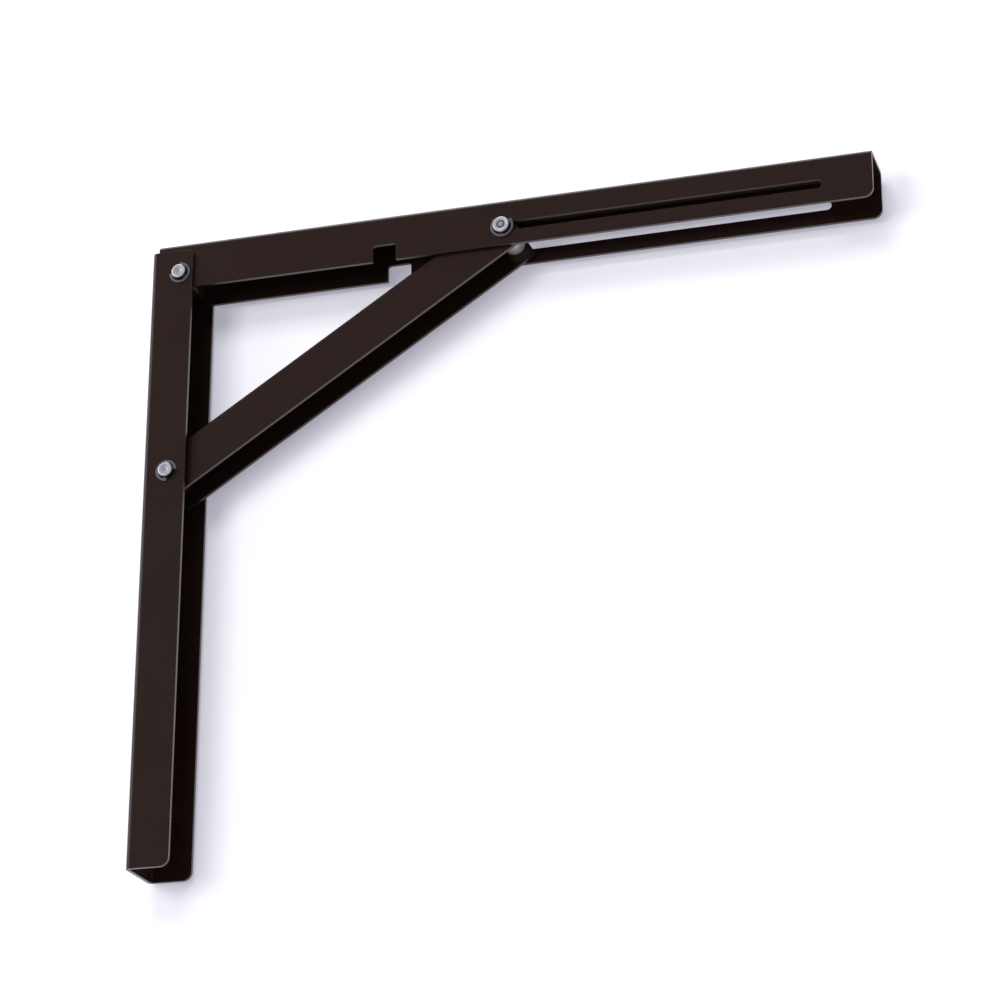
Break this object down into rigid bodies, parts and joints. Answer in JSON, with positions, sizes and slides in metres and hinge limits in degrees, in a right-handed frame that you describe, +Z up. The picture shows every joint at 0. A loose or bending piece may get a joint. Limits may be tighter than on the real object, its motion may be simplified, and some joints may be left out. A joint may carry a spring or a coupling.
{
  "type": "folding shelf bracket",
  "caption": "Folding shelf bracket of nested U-channels: a wall rail, a hinged arm with a long slot, and a diagonal strut whose bolt slides in the slot.",
  "frame": {"origin": "on the wall face, mid-width, at the middle hole of the wall screws", "axes": "+X out of the wall along the open arm, +Y across the bracket's width, +Z up"},
  "size_m": [0.4031, 0.0398, 0.3553],
  "materials": {
    "black_coat": "black powder coat on folded steel, low sheen",
    "zinc": "zinc-plated, slightly dull",
    "nylon": "off-white nylon"
  },
  "bodies": {
    "rail": {"wall_rail": "black_coat", "hinge_pin": "zinc", "hinge_washer_front": "zinc", "hinge_washer_rear": "zinc", "strut_pin": "zinc", "strut_pin_washer_front": "zinc", "strut_pin_washer_rear": "zinc", "strut_pin_bush_front": "zinc", "strut_pin_bush_rear": "zinc"},
    "arm": {"shelf_arm": "black_coat", "hinge_spacer": "black_coat"},
    "strut": {"strut": "black_coat", "strut_pin_spacer": "black_coat", "slide_bolt_shank": "zinc", "slide_spacer": "zinc"},
    "slider": {"slide_bolt_head": "zinc", "slide_bolt_end": "zinc", "slide_nut": "zinc", "slide_nut_insert": "nylon", "slide_washer_front": "zinc", "slide_washer_rear": "zinc"}
  },
  "joints": [
    {"name": "arm_fold", "type": "hinge", "parent": "rail", "child": "arm", "pos_m": [0.0172, 0, 0.1611], "axis": [0, 1, 0], "range_deg": [0, 87]},
    {"name": "strut_swing", "type": "hinge", "parent": "rail", "child": "strut", "pos_m": [0.0142, 0, 0.0438], "axis": [0, 1, 0], "range_deg": [0, 116.6]},
    {"name": "bolt_slide", "type": "slide", "parent": "arm", "child": "slider", "axis": [1, 0, 0], "range_m": [0, 0.1552]}
  ],
  "couplings": [
    {"joint": "strut_swing", "follows": "arm_fold", "ratio": 1.3391},
    {"joint": "bolt_slide", "follows": "arm_fold", "m_per_rad": 0.10198}
  ]
}
